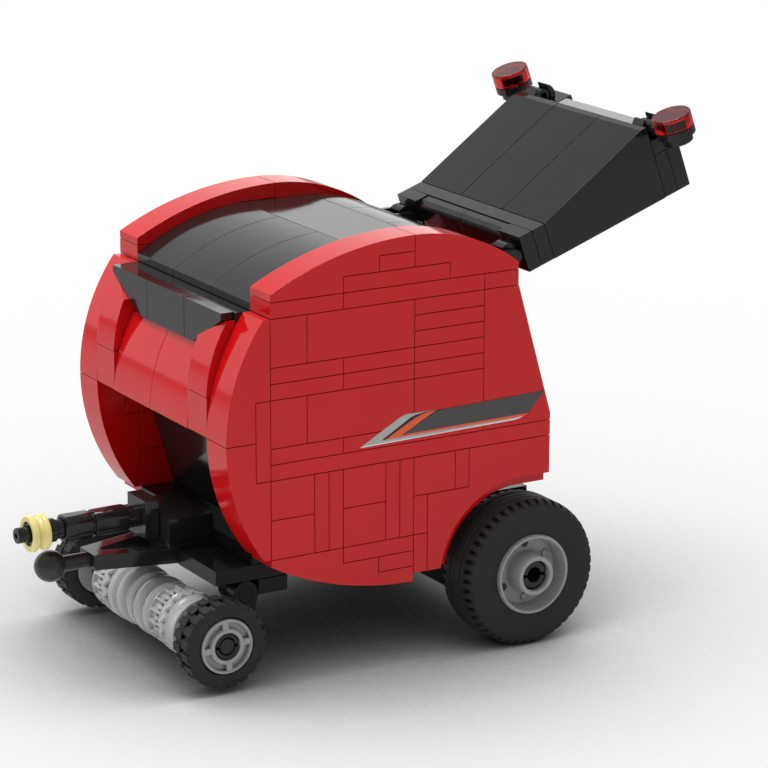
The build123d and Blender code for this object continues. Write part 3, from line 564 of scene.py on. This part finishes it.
def pickup_rim(side):
    centre, s, inner, outer = wheel_place(f"pickup_rim_{side}", side)
    body = f"pickup_wheel_{side}"
    face = (outer - inner) / MM
    profile = [(2.75, 2.5), (1.65, 2.5), (1.65, 0.1), (5.5, 0.1), (5.54, 0.3), (5.54, face - 0.25),
               (5.46, face - 0.08), (5.3, face), (5.1, face), (4.98, face - 0.08), (4.92, face - 0.25),
               (4.92, face - 1.1), (3.72, face - 1.1), (3.66, face - 0.3), (3.58, face - 0.1), (3.42, face),
               (2.95, face), (2.8, face - 0.07), (2.75, face - 0.25)]
    verts, faces = turned(centre, AROUND_Y, outwards(profile, inner, s), even(88))
    rim = placed(f"pickup_rim_ring_{side}", mesh_of("rim", verts, faces, grey), body)
    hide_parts(f"pickup_rim_{side}")
    low, high = sorted((s * (inner + (face - 1.3) * MM), s * (inner + (face - 0.12) * MM)))
    verts, faces = box_piece(3.5 * MM, 5.1 * MM, low, high, SPOKE_WIDE * MM, SPOKE_WIDE * MM)
    copied(f"rim_spokes_{side}", verts, faces, centre, SPOKES, SPOKE_START, grey, body)

    bush_face = outer - BUSH_SINK * MM
    ring = [(1.62, -3.0), (2.62, -3.0), (2.62, -0.15), (2.5, 0.0), (1.95, 0.0), (1.8, -0.12), (1.8, -1.2),
            (1.62, -1.2)]
    verts, faces = turned(centre, AROUND_Y, outwards(ring, bush_face, s), slot_columns(72),
                          slotted(outer - BUSH_SLOT * MM))
    placed(f"pickup_bush_{side}", mesh_of("bush", verts, faces, black), "chassis")
    end = [(0.0, -1.2), (1.58, -1.2), (1.58, -0.16), (1.48, -0.02), (1.35, 0.0), (0.0, 0.0)]
    verts, faces = turned(centre, AROUND_Y, outwards(end, bush_face, s), even(40))
    placed(f"pickup_axle_end_{side}", mesh_of("axle_end", verts, faces, black), "chassis")


# Drum: rows of radius, y, and what the teeth do to the row, from the right end to the left. The rows of
# the rings are then stretched and shifted along to where the rings lie.
DRUM_TEETH = 16
TOOTH_COLUMNS = 12
DRUM_STRETCH = 1.12
DRUM_SHIFT = 1.3
DRUM_RIGHT_END = [(1.66, -20.2, ""), (3.1, -20.2, ""), (3.2, -20.1, "")]
DRUM_LEFT_END = [(6.3, 20.18, ""), (1.66, 20.2, "")]
DRUM_RINGS = [
    (3.2, -17.4, ""), (5.2, -17.35, ""), (5.3, -17.2, ""), (5.3, -16.6, ""), (5.8, -16.4, ""),
    (6.05, -16.2, ""), (6.1, -15.9, "arch"), (6.12, -15.6, "pocket"), (6.12, -12.6, "pocket"),
    (6.1, -12.3, "lip"), (5.9, -12.05, ""), (6.2, -11.9, "zig"), (6.4, -11.4, "zig"), (6.4, -10.7, "zig"),
    (6.1, -10.4, "zig"), (5.6, -10.25, "zag"), (5.9, -9.5, ""), (6.2, -9.2, ""), (6.42, -8.9, ""),
    (6.42, -8.0, ""), (6.25, -7.5, ""), (5.8, -7.15, ""), (5.35, -6.6, ""), (5.7, -6.3, ""),
    (6.05, -6.05, ""), (6.22, -5.6, ""), (6.22, -4.9, ""), (6.05, -4.35, ""), (5.7, -4.0, ""),
    (5.3, -3.7, ""), (5.3, -2.8, ""), (5.6, -2.65, ""), (5.85, -2.4, ""), (5.95, -1.9, ""),
    (5.95, -1.2, ""), (5.8, -0.65, ""), (5.4, -0.35, ""), (5.05, -0.2, ""), (5.05, 0.1, ""),
    (5.7, 0.25, ""), (6.0, 0.5, ""), (6.2, 1.0, ""), (6.2, 2.1, ""), (6.0, 2.65, ""), (5.7, 2.95, ""),
    (5.3, 3.15, ""), (5.3, 3.45, ""), (5.65, 3.65, ""), (5.95, 3.95, ""), (6.1, 4.5, ""), (6.08, 5.1, ""),
    (5.9, 5.6, ""), (5.5, 5.85, ""), (5.5, 6.0, ""), (6.0, 6.15, ""), (6.1, 6.5, "arch"),
    (6.12, 6.8, "pocket"), (6.12, 10.1, "pocket"), (6.1, 10.4, "lip"), (5.9, 10.75, ""),
    (6.2, 10.9, "zig"), (6.4, 11.4, "zig"), (6.4, 12.2, "zig"), (6.1, 12.5, "zig"), (5.6, 12.7, "zag"),
    (5.9, 13.0, ""), (6.3, 13.15, ""), (6.36, 13.35, ""), (6.15, 13.55, ""), (5.98, 14.0, ""),
    (5.92, 14.8, ""), (5.98, 15.6, ""), (6.2, 16.2, ""), (6.4, 16.5, ""), (6.44, 16.8, ""),
]
POCKET_DEEP, ARCH_CURVE, LIP_CURVE, ZIGZAG = 0.7, 0.8, 0.15, 0.6
DRUM_STUDS = {"left": (11.0, 12.5), "right": (-14.4, -12.9)}
DRUM_STUD_FOOT, DRUM_STUD_TOP = (5.2, 0.95), (5.95, 0.8)


def drum():
    lo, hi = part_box("pickup_drum")
    centre = Vector(((lo[0] + hi[0]) / 2, 0, (lo[2] + hi[2]) / 2))
    rings = [(r, DRUM_STRETCH * y + DRUM_SHIFT, kind) for r, y, kind in DRUM_RINGS]
    rows = DRUM_RIGHT_END + rings + DRUM_LEFT_END

    def bend(turn, i, r, along):
        kind = rows[i][2]
        share = (turn * DRUM_TEETH) % 1.0
        wave = 1 - abs(2 * share - 1)
        if kind == "pocket":
            r -= POCKET_DEEP * MM * min(1.0, max(0.0, (wave - 0.2) * 6))
        elif kind == "arch":
            along += ARCH_CURVE * MM * (1 - min(1.0, wave * 1.3)) ** 2
        elif kind == "lip":
            along -= LIP_CURVE * MM * (1 - wave)
        elif kind in ("zig", "zag"):
            along += ZIGZAG * (1 - 2 * wave) * MM
        return r, along

    profile = scaled([row[:2] for row in rows])
    verts, faces = turned(centre, AROUND_Y, profile, even(DRUM_TEETH * TOOTH_COLUMNS), bend)
    roll = placed("drum_rings", mesh_of("drum", verts, faces, drum_grey), "drum")
    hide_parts("pickup_drum")
    (r0, wide0), (r1, wide1) = scaled([DRUM_STUD_FOOT, DRUM_STUD_TOP])
    start = math.pi / DRUM_TEETH
    for name, (y0, y1) in DRUM_STUDS.items():
        verts, faces = box_piece(r0, r1, y0 * MM, y1 * MM, wide0, wide1)
        copied(f"drum_studs_{name}", verts, faces, centre, DRUM_TEETH, start, drum_grey, "drum")


# Tow ball, a hair inside the node's own ball, with its neck behind it
BALL_STEPS = 18
BALL_SHARE = 0.998
BALL_FROM = -2.35
NECK_R = 1.58
NECK_TO = -2.6


def tow_ball():
    lo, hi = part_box("tow_ball")
    radius = (hi[1] - lo[1]) / 2
    centre = Vector((hi[0] - radius, 0, (lo[2] + hi[2]) / 2))
    back = lo[0] - centre[0]
    profile = [(0.0, back), (NECK_R * MM, back), (NECK_R * MM, NECK_TO * MM)]
    start = math.acos(BALL_FROM * MM / radius)
    for k in range(BALL_STEPS + 1):
        a = start * (1 - k / BALL_STEPS)
        profile.append((radius * math.sin(a) * BALL_SHARE, radius * math.cos(a) * BALL_SHARE))
    verts, faces = turned(centre, AROUND_X, profile, even(56))
    ball = placed("tow_ball_round", mesh_of("ball", verts, faces, ball_black_painted_sheen), "chassis")
    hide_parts("tow_ball")


# Drive shaft with its ringed yellow bush, and the bearing that carries it
def shaft_bush():
    lo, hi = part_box("shaft_bush")
    centre = Vector((lo[0], 0, (lo[2] + hi[2]) / 2))
    long = (hi[0] - lo[0]) / MM
    ring = [(2.43, 0.0), (3.4, 0.0), (3.6, 0.15), (3.63, 0.4), (3.63, 0.8), (3.5, 1.02), (3.2, 1.2),
            (3.05, 1.45), (3.0, 1.8), (3.05, 2.15), (3.2, 2.38), (3.5, 2.52), (3.63, 2.7),
            (3.63, long - 0.4), (3.6, long - 0.15), (3.4, long), (2.55, long), (2.43, long - 0.12)]
    verts, faces = turned(centre, AROUND_X, scaled(ring), even(72))
    bush = placed("shaft_bush_rings", mesh_of("bush_rings", verts, faces, yellow), "shaft")
    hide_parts("shaft_bush")


def drive_shaft():
    lo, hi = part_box("drive_shaft")
    centre = Vector((hi[0], 0, (lo[2] + hi[2]) / 2))
    shaft = [(0.0, -1.4), (0.62, -1.4), (0.62, -0.05), (0.7, 0.0), (1.45, 0.0), (1.58, -0.14),
             (1.58, -1.9), (1.66, -1.9), (1.66, -2.8), (2.38, -2.8), (2.38, -8.0), (2.25, -8.15),
             (1.95, -8.2), (1.95, -9.6), (1.55, -9.6), (1.55, -16.6), (0.0, -16.6)]
    verts, faces = turned(centre, AROUND_X, scaled(shaft), even(64))
    stub = placed("drive_shaft_round", mesh_of("shaft", verts, faces, black), "shaft")
    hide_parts("drive_shaft")


def shaft_bearing():
    lo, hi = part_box("shaft_bearing")
    centre = Vector((hi[0], 0, (lo[2] + hi[2]) / 2))
    back = (lo[0] - hi[0]) / MM
    body = [(0.0, -7.3), (1.64, -7.3), (1.64, -0.9), (2.1, -0.8), (2.1, -0.1), (2.2, 0.0), (2.4, 0.0),
            (2.85, -0.25), (2.9, -0.5), (2.9, -5.6), (2.7, -5.9), (2.3, -6.0), (2.3, -6.5), (2.7, -6.6),
            (2.9, -6.9), (2.9, back + 3.0), (2.7, back + 2.6), (2.2, back + 2.4), (2.2, back), (0.0, back)]

    def squared(turn, i, r, along):
        flat_side = 2.55 * MM / max(abs(math.cos(2 * math.pi * turn)), abs(math.sin(2 * math.pi * turn)))
        return min(r, flat_side), along

    verts, faces = turned(centre, AROUND_X, scaled(body), even(80), squared)
    bearing = placed("shaft_bearing_body", mesh_of("bearing", verts, faces, black), "chassis")
    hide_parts("shaft_bearing")


# Lamps: clear red caps over black studs, square to the open tailgate
LAMP_AXES = (Vector((math.sin(OPEN), 0.0, math.cos(OPEN))), Vector((0.0, 1.0, 0.0)))
LAMP_R = 4.0
LAMP_TALL = 2.9
STUD_TALL = 1.75


def lamps():
    lo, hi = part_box("lamp_lenses")
    cap = [(0.0, 0.0), (3.85, 0.0), (LAMP_R, -0.15), (LAMP_R, 0.08 - LAMP_TALL), (3.92, -LAMP_TALL),
           (2.55, -LAMP_TALL), (2.55, -1.0), (0.0, -1.0)]
    stud = [(0.0, -1.1), (2.2, -1.1), (2.35, -1.2), (2.35, -1.1 - STUD_TALL), (0.0, -1.1 - STUD_TALL)]
    caps = []
    for side, y in (("left", hi[1] - LAMP_R * MM), ("right", lo[1] + LAMP_R * MM)):
        middle = Vector(((lo[0] + hi[0]) / 2, y, (lo[2] + hi[2]) / 2))
        top = middle + LAMP_AXES[0] * (LAMP_TALL / 2 * MM)
        caps.append(turned(top, LAMP_AXES, scaled(cap), even(72)))
        verts, faces = turned(top, LAMP_AXES, scaled(stud), even(40))
        placed(f"lamp_stud_{side}", mesh_of("lamp_stud", verts, faces, black), "tailgate")
    (left_verts, left_faces), (right_verts, right_faces) = caps
    faces = left_faces + [tuple(k + len(left_verts) for k in face) for face in right_faces]
    lens = placed("lamp_caps", mesh_of("lamp_caps", left_verts + right_verts, faces, lens_red), "tailgate")
    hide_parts("lamp_lenses")


# Tailgate: thin black sheets of painted shade in the seams between its three slopes, and black discs of
# painted shade in the hollow ends of the lamp bars. A point (e, n) is e out from the hinge along the open
# tailgate and n square to it.
HINGE_U = 60.4
HINGE = (FRONT_X - HINGE_U * MM, ARCH_Z)
BAR_E, BAR_N, BAR_END = 40.0, 10.0, 18.57
GATE_SEAM_SHADE_HALF = 0.08 * MM
GATE_SEAM_SHADE = [(8.62, 2.8), (8.62, 3.62), (35.85, 11.62), (37.28, 11.62), (37.28, 10.8), (35.85, 10.8)]


def gate_point(e, n):
    """The x and z of a point (e, n) of the tailgate."""
    along, square = e * MM, n * MM
    return (HINGE[0] - along * math.cos(OPEN) + square * math.sin(OPEN),
            HINGE[1] + along * math.sin(OPEN) + square * math.cos(OPEN))


def gate_details():
    points = [gate_point(e, n) for e, n in GATE_SEAM_SHADE]
    bar_x, bar_z = gate_point(BAR_E, BAR_N)
    end = [(0.0, -0.02), (0.82, -0.02), (0.82, 0.05), (0.0, 0.05)]
    for side, s in (("left", 1), ("right", -1)):
        # Painted shade: black sheets in the seams and black discs in the bar ends
        verts, faces = prism(points, s * STUD_PITCH - GATE_SEAM_SHADE_HALF, s * STUD_PITCH + GATE_SEAM_SHADE_HALF)
        placed(f"gate_seam_shade_{side}", mesh_of("gate_seam_shade", verts, faces, hollow_painted_shade), "tailgate")
        centre = Vector((bar_x, s * BAR_END * MM, bar_z))
        verts, faces = turned(centre, AROUND_Y, outwards(end, 0, s), even(28))
        placed(f"bar_end_shade_{side}", mesh_of("bar_end_shade", verts, faces, hollow_painted_shade), "tailgate")


# Side bands: layers one over the other, each with its corners as (u, v)
BAND_CLEAR = 0.002 * MM
BAND_THICK = 0.03 * MM
LAYER_STEP = 0.012 * MM
BAND_LAYERS = [
    ("base", band_silver, [(19.59, -31.46), (28.84, -26.5), (30.02, -26.1), (37.2, -26.15), (57.97, -30.11),
                           (56.48, -30.65), (55.48, -30.83)]),
    ("edge", band_white, [(19.59, -31.46), (20.76, -31.21), (35.46, -31.01), (55.31, -30.6),
                          (56.47, -30.45), (57.64, -30.32), (56.48, -30.71), (55.48, -30.86)]),
    ("shadow", black, [(24.63, -30.59), (31.12, -26.91), (32.21, -26.56), (34.13, -26.29),
                       (37.2, -26.18), (38.66, -26.19), (38.68, -28.78), (29.41, -30.58)]),
    ("orange", band_orange, [(25.29, -30.63), (32.31, -27.08), (33.65, -26.62), (35.1, -26.37),
                             (37.2, -26.27), (38.33, -26.32), (38.69, -29.64), (57.97, -29.82),
                             (58.54, -29.84), (57.74, -30.31), (56.31, -30.39), (29.03, -30.55)]),
    ("blade_shadow", black, [(29.15, -30.2), (35.3, -27.09), (36.59, -26.47), (38.01, -26.21),
                             (39.3, -26.22), (38.68, -28.49), (29.98, -30.23)]),
    ("blade", band_grey, [(29.41, -30.12), (35.56, -27.18), (36.85, -26.59), (38.14, -26.32),
                          (39.43, -26.24), (62.42, -25.72), (58.87, -29.71), (57.97, -29.87)]),
]


def side_bands():
    for side, s in (("left", 1), ("right", -1)):
        for layer, (name, mat, corners) in enumerate(BAND_LAYERS):
            top = WALL_Y + BAND_THICK + LAYER_STEP * layer
            low, high = sorted((s * (WALL_Y + BAND_CLEAR), s * top))
            points = [(FRONT_X - u * MM, ARCH_Z + v * MM) for u, v in corners]
            verts, faces = prism(points, low, high)
            placed(f"band_{name}_{side}", mesh_of(name, verts, faces, mat), "chassis")


for side in ("left", "right"):
    rear_tyre(side)
    rear_rim(side)
    pickup_tyre(side)
    pickup_rim(side)
drum()
tow_ball()
shaft_bush()
drive_shaft()
shaft_bearing()
lamps()
gate_details()
side_bands()


# Stage: floor, studio light and the photograph's camera
FLOOR_HALF = 6.0
SHADE_REACH = 0.30
# The floor's brightness over the share of open sky above it, its two ends first
FLOOR_TONE = [(0.0, 0.0), (1.0, 1.0), (0.17, 0.026), (0.53, 0.238), (0.57, 0.319), (0.657, 0.423),
              (0.68, 0.468), (0.767, 0.67), (0.864, 0.84), (0.917, 0.93)]
# The floor's paleness to the machine, and how much less of it reflections find
FLOOR_PALE = 0.85
FLOOR_LESS = 0.43
# Strength of the even light, and of what reflections find: all round, and added in the band
EVEN_LIGHT = 0.64
SHINE_LIGHT = 0.38
BAND_LIGHT = 1.15
# Key lamp: a disk above the machine
KEY_WIDE = 0.55
KEY_WATTS = 8.0
KEY_AWAY = 0.9
KEY_TOWARD = Vector((0.17, -0.20, 0.96)).normalized()


def floor_material():
    """White for the camera, darker where the machine keeps the light off; plain pale for all else."""
    mat = bpy.data.materials.new("floor_white")
    mat.use_nodes = True
    tree = mat.node_tree
    n, link = tree.nodes, tree.links.new
    occl = n.new("ShaderNodeAmbientOcclusion")
    occl.samples = 16
    occl.inputs["Distance"].default_value = SHADE_REACH
    tone = n.new("ShaderNodeFloatCurve")
    curve = tone.mapping.curves[0]
    for i, (open_share, bright) in enumerate(FLOOR_TONE):
        if i < 2:
            curve.points[i].location = (open_share, bright)
        else:
            curve.points.new(open_share, bright)
    tone.mapping.update()
    link(occl.outputs["AO"], tone.inputs["Value"])
    seen = n.new("ShaderNodeEmission")
    link(tone.outputs[0], seen.inputs["Strength"])
    path = n.new("ShaderNodeLightPath")
    bsdf = n["Principled BSDF"]
    pale = math_node(tree, "MULTIPLY_ADD", path.outputs["Is Glossy Ray"], -FLOOR_LESS, FLOOR_PALE)
    gather = n.new("ShaderNodeCombineColor")
    for i in range(3):
        link(pale, gather.inputs[i])
    link(gather.outputs[0], bsdf.inputs["Base Color"])
    bsdf.inputs["Roughness"].default_value = 0.9
    bsdf.inputs["Specular IOR Level"].default_value = 0.0
    mix = n.new("ShaderNodeMixShader")
    link(path.outputs["Is Camera Ray"], mix.inputs[0])
    link(bsdf.outputs[0], mix.inputs[1])
    link(seen.outputs[0], mix.inputs[2])
    link(mix.outputs[0], n["Material Output"].inputs["Surface"])
    return mat


def studio_world():
    """Even light for surfaces; reflections find a bright band low behind the machine."""
    world = bpy.data.worlds.new("studio")
    bpy.context.scene.world = world
    world.use_nodes = True
    tree = world.node_tree
    n, link = tree.nodes, tree.links.new
    back = n["Background"]
    back.inputs["Color"].default_value = (1, 1, 1, 1)
    back.inputs["Strength"].default_value = EVEN_LIGHT
    coord = n.new("ShaderNodeTexCoord")
    away = n.new("ShaderNodeVectorMath")
    away.operation = "DOT_PRODUCT"
    away.inputs[1].default_value = (-math.sin(CAM_AZ), math.cos(CAM_AZ), 0.0)
    link(coord.outputs["Generated"], away.inputs[0])
    split = n.new("ShaderNodeSeparateXYZ")
    link(coord.outputs["Generated"], split.inputs[0])
    behind = ramp_node(tree, away.outputs["Value"], -0.1, 0.9)
    low = ramp_node(tree, split.outputs["Z"], 0.2, 0.75, 1.0, 0.0)
    band = math_node(tree, "MULTIPLY", behind, low)
    strength = math_node(tree, "MULTIPLY_ADD", band, BAND_LIGHT, SHINE_LIGHT)
    shine = n.new("ShaderNodeBackground")
    link(strength, shine.inputs["Strength"])
    path = n.new("ShaderNodeLightPath")
    mix = n.new("ShaderNodeMixShader")
    link(path.outputs["Is Glossy Ray"], mix.inputs[0])
    link(back.outputs[0], mix.inputs[1])
    link(shine.outputs[0], mix.inputs[2])
    seen = n.new("ShaderNodeBackground")
    last = n.new("ShaderNodeMixShader")
    direct = math_node(tree, "MAXIMUM", path.outputs["Is Camera Ray"],
                       path.outputs["Is Transmission Ray"])
    link(direct, last.inputs[0])
    link(mix.outputs[0], last.inputs[1])
    link(seen.outputs[0], last.inputs[2])
    link(last.outputs[0], n["World Output"].inputs["Surface"])


def floor_piece():
    mesh = bpy.data.meshes.new("floor")
    corners = [(x * FLOOR_HALF, y * FLOOR_HALF, 0) for x, y in ((-1, -1), (1, -1), (1, 1), (-1, 1))]
    mesh.from_pydata(corners, [], [(0, 1, 2, 3)])
    floor = bpy.data.objects.new("floor", mesh)
    bpy.context.scene.collection.objects.link(floor)
    floor.data.materials.append(floor_material())


def key_lamp():
    key = bpy.data.lights.new("key", "AREA")
    key.shape = "DISK"
    key.size = KEY_WIDE
    key.energy = KEY_WATTS
    lamp = bpy.data.objects.new("key", key)
    lamp.location = KEY_TOWARD * KEY_AWAY
    lamp.rotation_euler = KEY_TOWARD.to_track_quat("Z", "Y").to_euler()
    bpy.context.scene.collection.objects.link(lamp)


def camera():
    cam = bpy.data.cameras.new("camera")
    cam.sensor_width = SENSOR_MM
    cam.lens = FOCAL_PX / IMAGE_PX * SENSOR_MM
    cam.clip_start = 0.01
    eye = bpy.data.objects.new("camera", cam)
    level = math.cos(CAM_EL)
    back_dir = Vector((math.sin(CAM_AZ) * level, -math.cos(CAM_AZ) * level, math.sin(CAM_EL)))
    right = (-back_dir).cross(Vector((0, 0, 1))).normalized()
    up = right.cross(-back_dir)
    turned_right = right * math.cos(CAM_ROLL) + up * math.sin(CAM_ROLL)
    turned_up = up * math.cos(CAM_ROLL) - right * math.sin(CAM_ROLL)
    pose = Matrix((turned_right, turned_up, back_dir)).transposed().to_4x4()
    pose.translation = Vector((FRONT_X, 0, ARCH_Z)) + CAM_OFFSET
    eye.matrix_world = pose
    bpy.context.scene.collection.objects.link(eye)
    bpy.context.scene.camera = eye


floor_piece()
studio_world()
key_lamp()
camera()
bpy.context.scene.view_settings.view_transform = "Standard"
